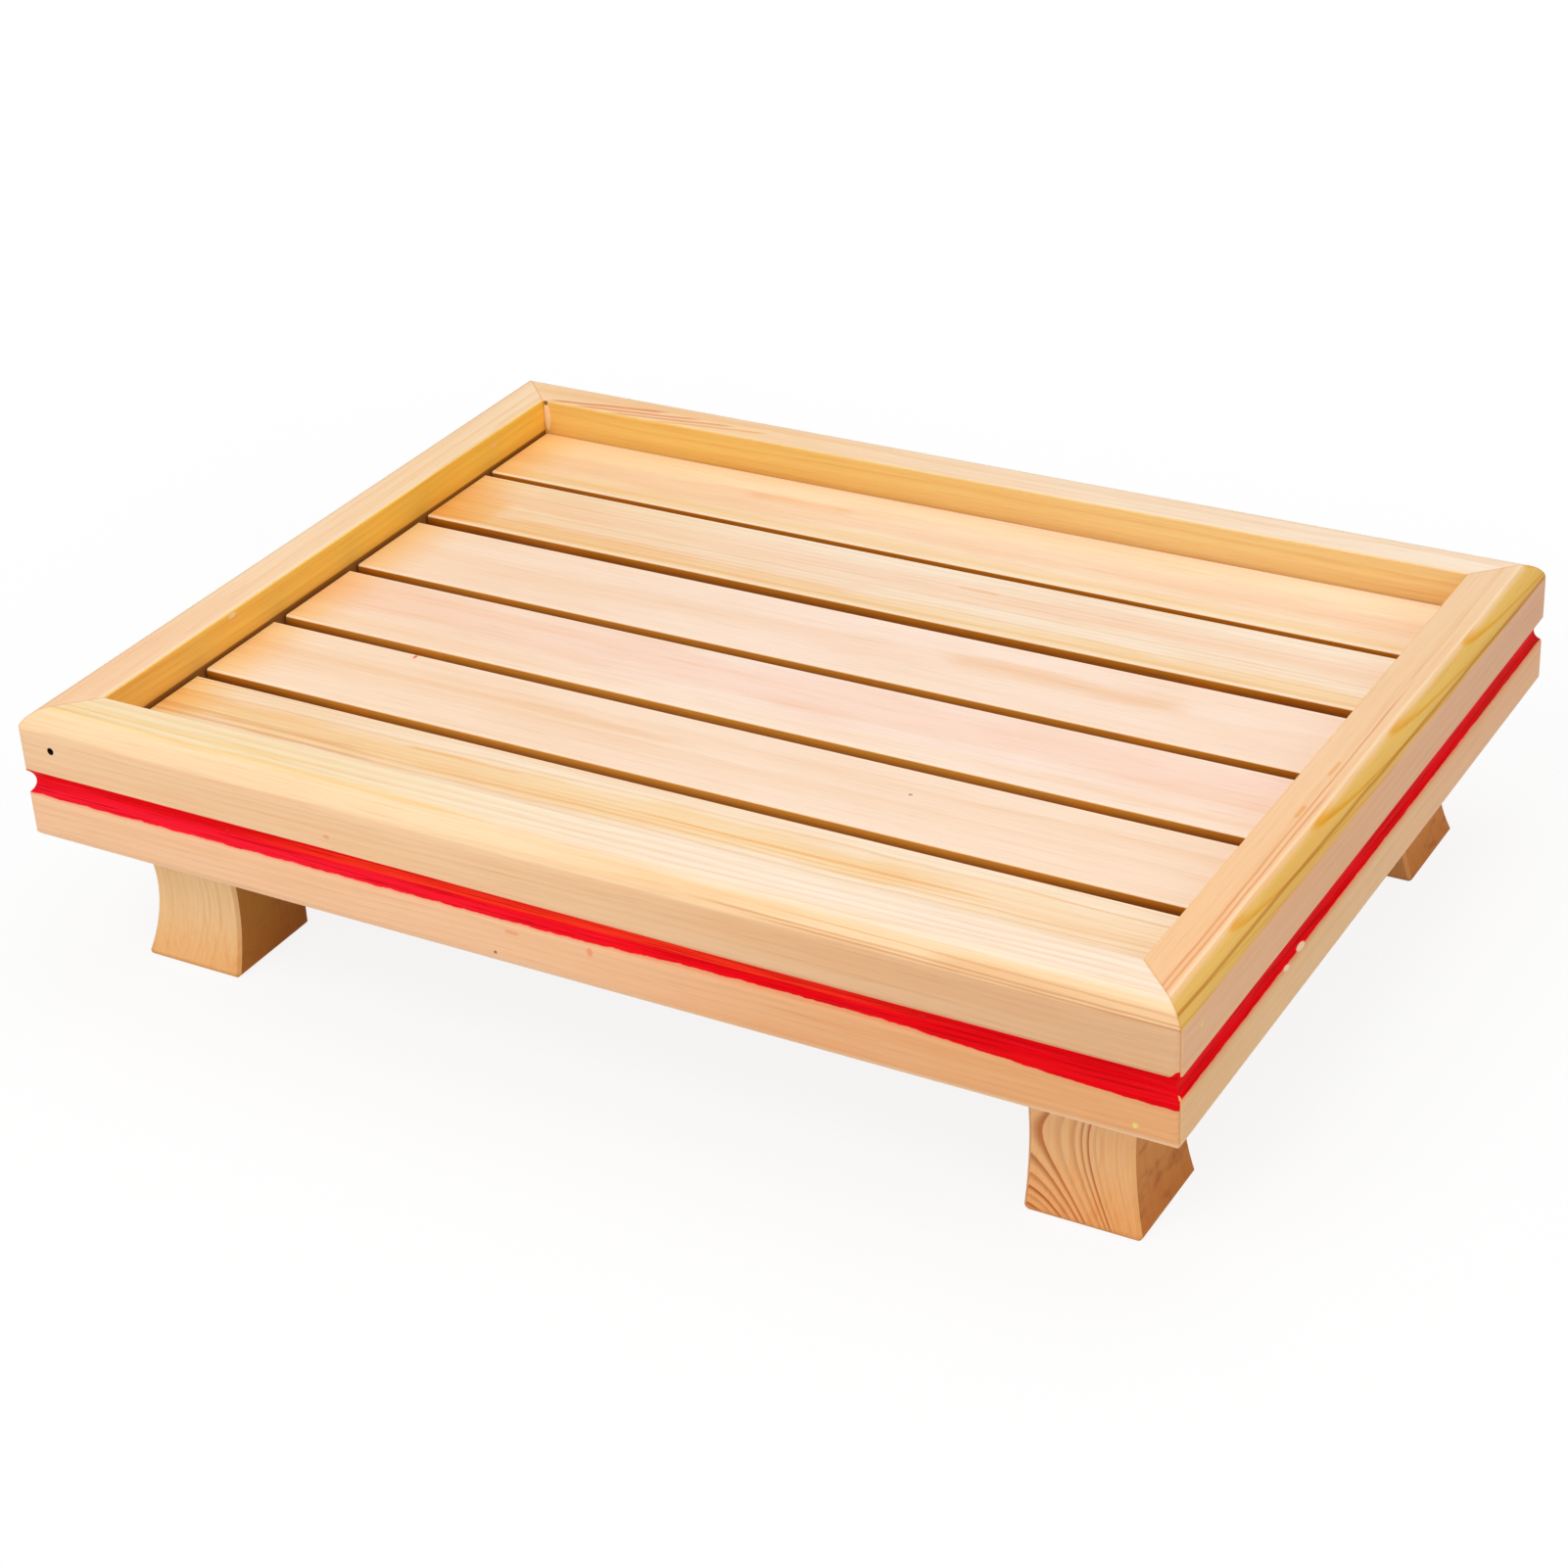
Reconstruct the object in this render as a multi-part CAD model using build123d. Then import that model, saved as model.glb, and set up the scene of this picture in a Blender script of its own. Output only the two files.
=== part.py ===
"""Footed serving board: four mitred moulded rails round a recessed floor of slats, on four scooped feet."""
from build123d import *
import os

# Overall size, with the origin on the table under the middle of the board
overall_length = 330.0
overall_width = 244.0
foot_drop = 41.5

# Rail section
rail_width = 17.0
rail_height = 38.0
top_round = 7.0
bottom_round = 4.5
inner_arris = 0.5
groove_height = 13.8
groove_mouth = 7.3
groove_depth = 2.2
groove_lip_round = 1.6
corner_round = 2.2

# Floor slats, laid by hand: each shift is that slat's own error in place
floor_recess = 10.6
slat_gap = 3.96
slat_thickness = 4.0
slat_arris = 0.5
slat_back_gap = 0.2
slat_end_gap = 1.0
slat_side_shifts = [0.0, 1.3, 0.6, 0.8, 0.6, 0.6]
slat_end_shifts = [-0.1, -0.4, 0.1, 0.3, -0.2, 0.2]

# Two battens that carry the slats, seen as paler spots through the gaps
batten_foot_gap = 12.05
batten_width = 10.5
batten_thickness = 12.0
batten_arris = 0.8
batten_end_gap = 0.2

# Feet in the frame's corners, with the two outer faces scooped from the sole to the rails
foot_length = 31.1
foot_width = 32.1
scoop_depth = 3.6
scoop_waist_height = 21.6
foot_arris = 0.9
sole_arris = 0.9

# Blind dowels that join each foot to its two rails, at two heights so that they pass each other
dowel_diameter = 8.0
dowel_in_rail = 9.0
dowel_in_foot = 14.0
long_rail_dowel_height = 6.0
side_rail_dowel_height = 17.0
dowel_clearance = 0.05
dowel_end_room = 0.5

# Headless brads
brad_diameter = 1.7
brad_clearance = 0.03
brad_hole_overrun = 1.0
mitre_brad_length = 25.0
mitre_brad_set = 2.5
mitre_brad_inset = 11.0
mitre_brad_low = 5.5
mitre_brad_high = 29.0
batten_brad_bite = 10.0
slat_brad_set = 0.5
slat_brad_cover = 1.0

# Places that follow from the sizes above
half_length = overall_length / 2
half_width = overall_width / 2
inner_half_length = half_length - rail_width
inner_half_width = half_width - rail_width
rail_base = foot_drop
rail_top = rail_base + rail_height
slat_top = rail_top - floor_recess
slat_base = slat_top - slat_thickness
batten_base = slat_base - batten_thickness
batten_middle = inner_half_length - foot_length - batten_foot_gap - batten_width / 2
groove_middle = rail_base + groove_height + groove_mouth / 2
slat_count = len(slat_side_shifts)
slat_length = 2 * (inner_half_length - slat_end_gap)
slat_pitch = (2 * inner_half_width - slat_back_gap) / slat_count
slat_width = slat_pitch - slat_gap
batten_brad_length = rail_width - groove_depth + batten_end_gap + batten_brad_bite
slat_brad_length = batten_thickness - slat_brad_set + slat_thickness - slat_brad_cover


def slat_middle(index):
    """Place of a slat's centre line, counted from the back rail."""
    even = inner_half_width - slat_back_gap - slat_width / 2 - index * slat_pitch
    return even + slat_side_shifts[index]


def rail_section():
    """Section of a rail: X runs in from the outer face, Y runs up from the underside."""
    lip_low = groove_height
    lip_high = groove_height + groove_mouth
    outline = [
        Line((rail_width, 0), (bottom_round, 0)),
        RadiusArc((bottom_round, 0), (0, bottom_round), bottom_round),
        Line((0, bottom_round), (0, lip_low)),
        ThreePointArc((0, lip_low), (groove_depth, (lip_low + lip_high) / 2), (0, lip_high)),
        Line((0, lip_high), (0, rail_height - top_round)),
        RadiusArc((0, rail_height - top_round), (top_round, rail_height), top_round),
        Line((top_round, rail_height), (rail_width, rail_height)),
        Line((rail_width, rail_height), (rail_width, 0)),
    ]
    section = make_face(outline)
    lips = [v for v in section.vertices() if v.X < 1e-6 and lip_low - 1e-6 < v.Y < lip_high + 1e-6]
    section = fillet(lips, groove_lip_round)
    arris = section.vertices().sort_by(lambda v: v.X + v.Y)[-1]
    return fillet(arris, inner_arris)


def rail(length, reach):
    """A rail along X with mitred ends and eased outer corners, its outer face at Y = -reach."""
    plane = Plane(origin=(-length / 2, -reach, rail_base), x_dir=(0, 1, 0), z_dir=(1, 0, 0))
    bar = extrude(plane * rail_section(), length)
    mitre = Polyline(
        (-length / 2, -reach),
        (length / 2, -reach),
        (length / 2 - rail_width, rail_width - reach),
        (rail_width - length / 2, rail_width - reach),
        close=True,
    )
    plan = make_face(mitre) & RectangleRounded(length, 2 * reach, corner_round)
    return bar & extrude(Pos(0, 0, rail_base) * plan, rail_height)


def slat(index):
    """A floor slat along X with eased long edges."""
    section = chamfer(Rectangle(slat_width, slat_thickness).vertices(), slat_arris)
    bar = extrude(Plane.YZ * section, slat_length / 2, both=True)
    return Pos(slat_end_shifts[index], slat_middle(index), slat_top - slat_thickness / 2) * bar


def batten(side):
    """A batten along Y under the slats, between the long rails."""
    length = 2 * (inner_half_width - batten_end_gap)
    bar = Box(batten_width, length, batten_thickness)
    bottom_edges = bar.faces().sort_by(Axis.Z)[0].edges().filter_by(Axis.Y)
    bar = chamfer(bottom_edges, batten_arris)
    return Pos(side * batten_middle, 0, batten_base + batten_thickness / 2) * bar


def scoop_radius(rise):
    """Radius of an arc that is upright at the scoop's waist and comes out by its depth over the rise."""
    return (rise**2 + scoop_depth**2) / (2 * scoop_depth)


def foot_outline(width):
    """Side view of a foot: X runs from its inner face out to the rail, Y runs up from the table."""
    sole_edge = (width, 0)
    waist = (width - scoop_depth, scoop_waist_height)
    rail_edge = (width, rail_base)
    outline = [
        Line((0, 0), sole_edge),
        RadiusArc(sole_edge, waist, scoop_radius(scoop_waist_height)),
        RadiusArc(waist, rail_edge, scoop_radius(rail_base - scoop_waist_height)),
        Line(rail_edge, (width, slat_base)),
        Line((width, slat_base), (0, slat_base)),
        Line((0, slat_base), (0, 0)),
    ]
    return make_face(outline)


def foot():
    """The foot of the back right corner: one side view crossed with the other, with eased edges."""
    inner_x = inner_half_length - foot_length
    inner_y = inner_half_width - foot_width
    side_x = Plane(origin=(inner_x, inner_half_width, 0), x_dir=(1, 0, 0), z_dir=(0, -1, 0))
    side_y = Plane(origin=(inner_half_length, inner_y, 0), x_dir=(0, 1, 0), z_dir=(1, 0, 0))
    along_y = extrude(side_x * foot_outline(foot_length), foot_width, both=True)
    along_x = extrude(side_y * foot_outline(foot_width), foot_length, both=True)
    block = along_y & along_x
    upright = [edge for edge in block.edges() if edge.bounding_box().size.Z > sole_arris]
    block = chamfer(upright, foot_arris)
    return chamfer(block.faces().sort_by(Axis.Z)[0].edges(), sole_arris)


def dowel_places():
    """Where the back right foot meets its long rail and its side rail, with Z into the rail."""
    middle_x = inner_half_length - foot_length / 2
    middle_y = inner_half_width - foot_width / 2
    return [
        Plane(origin=(middle_x, inner_half_width, rail_base + long_rail_dowel_height), z_dir=(0, 1, 0)),
        Plane(origin=(inner_half_length, middle_y, rail_base + side_rail_dowel_height), z_dir=(1, 0, 0)),
    ]


def dowel(place):
    """A dowel across the joint of foot and rail."""
    pin = Cylinder(dowel_diameter / 2, dowel_in_rail + dowel_in_foot)
    return place * Pos(0, 0, (dowel_in_rail - dowel_in_foot) / 2) * pin


def dowel_hole(place):
    """The hole for a dowel, with room at both ends."""
    length = dowel_in_rail + dowel_in_foot + 2 * dowel_end_room
    bore = Cylinder(dowel_diameter / 2 + dowel_clearance, length)
    return place * Pos(0, 0, (dowel_in_rail - dowel_in_foot) / 2) * bore


def pin_along(place, radius, length):
    """A round pin from the place's origin along its Z."""
    return place * Cylinder(radius, length, align=(Align.CENTER, Align.CENTER, Align.MIN))


def brad(place, length):
    """A brad driven along the place's Z from its origin."""
    return pin_along(place, brad_diameter / 2, length)


def brad_hole(place, length, set_depth):
    """The hole that the brad and the nail set leave, from the wood's face to the brad's point."""
    mouth = set_depth + brad_hole_overrun
    radius = brad_diameter / 2 + brad_clearance
    return pin_along(place * Pos(0, 0, -mouth), radius, mouth + length + brad_clearance)


def mitre_brad_places():
    """Two brads at each corner, one through each rail, one high and one low."""
    places = []
    for sx in (-1, 1):
        for sy in (-1, 1):
            long_rail_high = sx == sy
            long_z = rail_base + (mitre_brad_high if long_rail_high else mitre_brad_low)
            side_z = rail_base + (mitre_brad_low if long_rail_high else mitre_brad_high)
            long_point = (sx * (half_length - mitre_brad_inset), sy * (half_width - mitre_brad_set), long_z)
            side_point = (sx * (half_length - mitre_brad_set), sy * (half_width - mitre_brad_inset), side_z)
            places.append(Plane(origin=long_point, z_dir=(0, -sy, 0)))
            places.append(Plane(origin=side_point, z_dir=(-sx, 0, 0)))
    return places


def batten_brad_places():
    """A brad into each end of each batten, flush in a long rail's groove, where paint hides it."""
    y = half_width - groove_depth
    return [
        Plane(origin=(sx * batten_middle, sy * y, groove_middle), z_dir=(0, -sy, 0))
        for sx in (-1, 1)
        for sy in (-1, 1)
    ]


def slat_brad_places():
    """A brad from under each batten into each slat."""
    return [
        Plane(origin=(sx * batten_middle, slat_middle(index), batten_base + slat_brad_set), z_dir=(0, 0, 1))
        for sx in (-1, 1)
        for index in range(slat_count)
    ]


def filler(place):
    """Putty over a set brad, flush with the rail's face."""
    return pin_along(place * Pos(0, 0, -mitre_brad_set), brad_diameter / 2, mitre_brad_set)


def four_corners(shape):
    """The shape of the back right corner and its three mirror images, by corner name."""
    left = mirror(shape, about=Plane.YZ)
    return {
        "front_left": mirror(left, about=Plane.XZ),
        "front_right": mirror(shape, about=Plane.XZ),
        "back_left": left,
        "back_right": shape,
    }


mitre_places = mitre_brad_places()
batten_places = batten_brad_places()
slat_places = slat_brad_places()
mitre_holes = [brad_hole(p, mitre_brad_length, mitre_brad_set) for p in mitre_places]
batten_holes = [brad_hole(p, batten_brad_length, 0) for p in batten_places]
slat_holes = [brad_hole(p, slat_brad_length, slat_brad_set) for p in slat_places]
dowels = [pin for p in dowel_places() for pin in four_corners(dowel(p)).values()]
dowel_holes = [hole for p in dowel_places() for hole in four_corners(dowel_hole(p)).values()]

nodes = {}
long_rail = rail(overall_length, half_width)
side_rail = rail(overall_width, half_length)
rails = {
    "rail_front": long_rail,
    "rail_back": Rot(0, 0, 180) * long_rail,
    "rail_left": Rot(0, 0, -90) * side_rail,
    "rail_right": Rot(0, 0, 90) * side_rail,
}
for name, shape in rails.items():
    nodes[name] = shape - mitre_holes - batten_holes - dowel_holes

for index in range(slat_count):
    nodes[f"slat_{index + 1}"] = slat(index) - slat_holes

for name, side in (("batten_left", -1), ("batten_right", 1)):
    nodes[name] = batten(side) - batten_holes - slat_holes

for corner, shape in four_corners(foot()).items():
    nodes[f"foot_{corner}"] = shape - dowel_holes

nodes["foot_dowels"] = Compound(dowels)
nodes["mitre_brads"] = Compound([brad(p, mitre_brad_length) for p in mitre_places])
nodes["batten_brads"] = Compound([brad(p, batten_brad_length) for p in batten_places])
nodes["slat_brads"] = Compound([brad(p, slat_brad_length) for p in slat_places])
# The brad at the left end of the front rail has lost its putty, so its hole stays open
nodes["brad_putty"] = Compound([filler(p) for p in mitre_places[1:]])

os.makedirs("parts", exist_ok=True)
for name, shape in nodes.items():
    export_step(shape, f"parts/{name}.step")
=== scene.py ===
"""Looks for the slatted serving board: bare softwood, with red paint in the groove round its rails."""
import math
from dataclasses import dataclass

import bpy
from mathutils import Matrix, Vector


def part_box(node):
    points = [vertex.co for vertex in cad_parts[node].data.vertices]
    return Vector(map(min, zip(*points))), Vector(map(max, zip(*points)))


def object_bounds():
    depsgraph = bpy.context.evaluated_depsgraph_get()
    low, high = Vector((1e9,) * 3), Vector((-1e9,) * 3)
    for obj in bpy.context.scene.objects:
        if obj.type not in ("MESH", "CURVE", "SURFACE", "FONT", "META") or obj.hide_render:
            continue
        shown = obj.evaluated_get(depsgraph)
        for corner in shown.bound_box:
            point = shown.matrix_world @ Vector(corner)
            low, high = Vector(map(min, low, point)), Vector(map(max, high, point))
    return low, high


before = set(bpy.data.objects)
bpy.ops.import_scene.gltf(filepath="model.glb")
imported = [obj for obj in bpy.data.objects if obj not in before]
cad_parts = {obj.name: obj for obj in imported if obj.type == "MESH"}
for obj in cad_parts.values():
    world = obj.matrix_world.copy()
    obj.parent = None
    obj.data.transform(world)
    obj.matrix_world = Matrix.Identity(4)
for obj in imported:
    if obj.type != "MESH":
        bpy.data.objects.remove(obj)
cad_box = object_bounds()

# Millimetres in a metre
MM = 1000.0


def millimetres(point):
    """A point of the frame, in millimetres."""
    return Vector(point) * MM


def middle(node):
    """The middle of a node's box, in millimetres."""
    low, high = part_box(node)
    return millimetres((low + high) / 2)


def extent(node):
    """The size of a node's box, in millimetres."""
    low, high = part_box(node)
    return millimetres(high - low)


# Sizes in millimetres that come from the frame
HALF_LENGTH = millimetres(cad_box[1]).x
HALF_WIDTH = millimetres(cad_box[1]).y
RAIL_TOP = millimetres(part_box("rail_front")[1]).z
RAIL_BASE = millimetres(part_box("rail_front")[0]).z
RAIL_HEIGHT = RAIL_TOP - RAIL_BASE
RAIL_WIDTH = extent("rail_front").y
SLAT_TOP = millimetres(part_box("slat_1")[1]).z
SLAT_HALF_WIDTH = extent("slat_1").y / 2
SLAT_HALF_LENGTH = extent("slat_1").x / 2
FLOOR_HEIGHT = SLAT_TOP - RAIL_BASE

# The groove's lips above a rail's base, and how far in from the outer face its paint stays whole and is gone
GROOVE_LOW = 13.8
GROOVE_HIGH = 21.1
PAINT_SKIN = (3.2, 3.5)

# The rail's rounded edge, by girth from the inner top edge over the top and down the outer face
ROUND_START = 12.0
ROUND_END = 21.2

# How deep a mark on the outer face, the inner wall or the underside stays whole, and where it is gone
FACE_SKIN = (0.2, 0.5)
WALL_SKIN = (0.15, 0.5)
UNDER_SKIN = (0.05, 0.3)

# The brad hole that has lost its putty: along the front rail, up from its base, and the edge of its dirt
OPEN_HOLE_ALONG = -154.0
OPEN_HOLE_HEIGHT = 29.0
OPEN_HOLE_EDGE = (0.95, 1.15)

# The camera of the photograph: turn in degrees, target and distance in metres, lens and frame in millimetres
CAMERA_AZIMUTH = 31.105
CAMERA_ELEVATION = 29.728
CAMERA_ROLL = -3.213
CAMERA_TARGET = (0.00216, -0.01341, 0.0415)
CAMERA_DISTANCE = 0.91072
CAMERA_LENS = 78.285
CAMERA_FRAME = 36

# Studio: the surround's share of light, the floor in metres, its shadow's strength and reach in millimetres
FILL_STRENGTH = 0.35
FLOOR_SIZE = 12.0
FLOOR_SHADOW = 0.13
SHADOW_REACH = 260.0

# Soft lamps: place and width in metres, and power in watts
LAMPS = {
    "key_lamp": ((-0.25, -1.2, 1.2), 1.0, 12.0),
    "top_lamp": ((0.2, 0.2, 1.5), 1.2, 9.2),
    "right_lamp": ((1.2, -0.4, 0.8), 0.8, 3.2),
}
LAMP_TARGET = (0, 0, 0.05)

ALONG_X = (1.0, 0.0, 0.0)
ALONG_Y = (0.0, 1.0, 0.0)
ALONG_Z = (0.0, 0.0, 1.0)


def srgb(red, green, blue):
    """A colour given as it looks on screen, 0 to 255, for a shader socket."""
    def linear(level):
        share = level / 255
        return share / 12.92 if share <= 0.04045 else ((share + 0.055) / 1.055) ** 2.4
    return (linear(red), linear(green), linear(blue), 1.0)


# Stains that multiply a wood's own tone
LATE_WOOD = srgb(244, 216, 178)
ORANGE_WOOD = srgb(248, 205, 140)
BROWN_WOOD = srgb(214, 166, 112)
OLIVE_WOOD = srgb(205, 160, 80)
RED_WOOD = srgb(236, 190, 165)
YELLOW_GRAIN = srgb(253, 234, 172)
TAN_GRAIN = srgb(240, 222, 202)
GOLD_WOOD = srgb(248, 218, 100)
FIBRE = srgb(222, 190, 150)

# Small marks that cover the wood
SPECK = srgb(120, 80, 50)
RED_DRIP = srgb(238, 70, 60)
PINK_MARK = srgb(255, 196, 150)

# Swells of the grain's patterns in a millimetre, across the fibre and along it
SWAY = (0.02, 0.006)
RIPPLE = (0.12, 0.03)
FIBRES = (2.4, 0.05)
STREAKS = (0.5, 0.008)
CLOUDS = (0.07, 0.012)
PORES = (3.5, 0.22)

# How far the sway and the ripple push a growth ring, in millimetres
SWAY_REACH = 5.0
RIPPLE_REACH = 0.8

# How many ring widths the crowding of the rings moves one, and the swells of the crowding in a ring width
CROWD_RINGS = 3.0
CROWD_SWELLS = 0.2

# How strongly the clouds, the fibre and the pores stain every piece
CLOUD_STRENGTH = 0.2
FIBRE_STRENGTH = 0.3
PORE_STRENGTH = 0.1

# Gloss of the surfaces, and how far their fibre, brush marks and grit stand out, in millimetres
WOOD_GLOSS = 0.2
PAINT_GLOSS = 0.03
BRAD_PAINT_GLOSS = 0.12
PUTTY_GLOSS = 0.2
FIBRE_DEPTH = 0.05
BRUSH_DEPTH = 0.06
GRIT_DEPTH = 0.05

# A streak's taper as a share of its length, and its ragged edge and whole core as shares of its half width
STREAK_TAPER = 0.2
STREAK_RAGGED = 2.4
STREAK_CORE = 0.4


class Value:
    """A socket of a node tree, so that shader maths reads as plain expressions."""

    def __init__(self, nodes, socket):
        self.nodes = nodes
        self.socket = socket

    def maths(self, operation, first, second=None):
        given = [v for v in (first, second) if v is not None]
        return self.nodes.add("ShaderNodeMath", {"operation": operation}, dict(enumerate(given)))

    def __add__(self, other):
        return self.maths("ADD", self, other)

    def __radd__(self, other):
        return self.maths("ADD", other, self)

    def __sub__(self, other):
        return self.maths("SUBTRACT", self, other)

    def __rsub__(self, other):
        return self.maths("SUBTRACT", other, self)

    def __mul__(self, other):
        return self.maths("MULTIPLY", self, other)

    def __rmul__(self, other):
        return self.maths("MULTIPLY", other, self)

    def __truediv__(self, other):
        return self.maths("DIVIDE", self, other)

    def __rtruediv__(self, other):
        return self.maths("DIVIDE", other, self)

    def __abs__(self):
        return self.maths("ABSOLUTE", self)

    def square(self):
        return self * self

    def root(self):
        return self.maths("SQRT", self)

    def floor(self):
        return self.maths("FLOOR", self)

    def fraction(self):
        return self.maths("FRACT", self)

    def most(self, other):
        return self.maths("MAXIMUM", self, other)

    def rise(self, start, end, low=0.0, high=1.0):
        """Eases from low to high as the value goes from start to end, and stays level outside."""
        return self.nodes.add(
            "ShaderNodeMapRange", {"interpolation_type": "SMOOTHSTEP", "clamp": True},
            {"Value": self, "From Min": start, "From Max": end, "To Min": low, "To Max": high})

    def band(self, centre, half_width, softness):
        """1 within half_width of the centre, easing to 0 over softness."""
        return abs(self - centre).rise(half_width, half_width + softness, 1.0, 0.0)

    def between(self, start, end, softness):
        """1 from start to end, easing to 0 over softness outside."""
        return self.band((start + end) / 2, (end - start) / 2, softness)


class Nodes:
    """A node tree under way."""

    def __init__(self, tree):
        self.tree = tree
        tree.nodes.clear()

    def add(self, kind, settings=None, inputs=None, output=0):
        """Adds a node, sets it up, fills or links its inputs, and gives one output as a Value."""
        node = self.tree.nodes.new(kind)
        for name, setting in (settings or {}).items():
            setattr(node, name, setting)
        for name, given in (inputs or {}).items():
            if isinstance(given, Value):
                self.tree.links.new(given.socket, node.inputs[name])
            else:
                node.inputs[name].default_value = given
        return Value(self, node.outputs[output])

    def finish(self, kind, shader):
        """Ends the tree in an output node."""
        end = self.tree.nodes.new(kind)
        self.tree.links.new(shader.socket, end.inputs["Surface"])

    def seen_directly(self):
        """1 for what the camera, a reflection or glass shows, and 0 for what only lights the object."""
        kinds = [self.add("ShaderNodeLightPath", output=name)
                 for name in ("Is Camera Ray", "Is Glossy Ray", "Is Transmission Ray")]
        return kinds[0].most(kinds[1]).most(kinds[2])

    def place(self):
        """The place on the object, in millimetres of the frame."""
        metres = self.add("ShaderNodeTexCoord", output="Object")
        return self.add("ShaderNodeVectorMath", {"operation": "SCALE"}, {0: metres, "Scale": MM})

    def split(self, vector):
        return [self.add("ShaderNodeSeparateXYZ", inputs={0: vector}, output=i) for i in range(3)]

    def join(self, x, y, z):
        return self.add("ShaderNodeCombineXYZ", inputs={0: x, 1: y, 2: z})

    def dot(self, vector, direction):
        return self.add("ShaderNodeVectorMath", {"operation": "DOT_PRODUCT"},
                        {0: vector, 1: tuple(direction)}, "Value")

    def offset(self, vector, point):
        """The way from a point to the vector."""
        return self.add("ShaderNodeVectorMath", {"operation": "SUBTRACT"}, {0: vector, 1: tuple(point)})

    def noise(self, vector, detail=2.0, roughness=0.5):
        """Smooth noise of about one swell per unit of the vector, from 0 to 1."""
        return self.add("ShaderNodeTexNoise", {"noise_dimensions": "3D"},
                        {"Vector": vector, "Scale": 1.0, "Detail": detail, "Roughness": roughness})

    def chance(self, number):
        """A random value from 0 to 1 for each whole number."""
        return self.add("ShaderNodeTexWhiteNoise", {"noise_dimensions": "1D"}, {"W": number})

    def mix(self, share, one, other, blend="MIX"):
        """Colour one, going over to the other by a share of 0 to 1."""
        return self.add("ShaderNodeMix", {"data_type": "RGBA", "blend_type": blend, "clamp_factor": True},
                        {0: share, 6: one, 7: other}, 2)

    def stain(self, share, colour, stain):
        """A colour darkened by a stain, by a share of 0 to 1."""
        return self.mix(share, colour, stain, "MULTIPLY")

    def bump(self, height, depth):
        """A surface normal from a height of 0 to 1 that stands for a depth in millimetres."""
        return self.add("ShaderNodeBump",
                        inputs={"Height": height, "Strength": 1.0, "Distance": depth / MM})

    def principled(self, inputs):
        """The shader of every solid surface."""
        return self.add("ShaderNodeBsdfPrincipled", inputs=inputs)

    def layer(self, share, under, over):
        """One shader, covered by another by a share of 0 to 1."""
        return self.add("ShaderNodeMixShader", inputs={0: share, 1: under, 2: over})


class Finish(Nodes):
    """A material under way."""

    def __init__(self, name):
        self.material = bpy.data.materials.new(name)
        self.material.use_nodes = True
        super().__init__(self.material.node_tree)

    def done(self, shader):
        self.finish("ShaderNodeOutputMaterial", shader)
        return self.material


@dataclass
class Figure:
    """How the grain of a piece runs and shows.

    The pith is placed from the middle of the piece, and a ring is given by its width, in millimetres.
    line and streak are the strengths of ring lines and streaks, and wander says how far the rings bend.
    """
    grain: tuple
    pith: tuple
    ring: float
    line: float
    streak: float
    seed: int
    wander: float = 1.0
    late: tuple = LATE_WOOD


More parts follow.
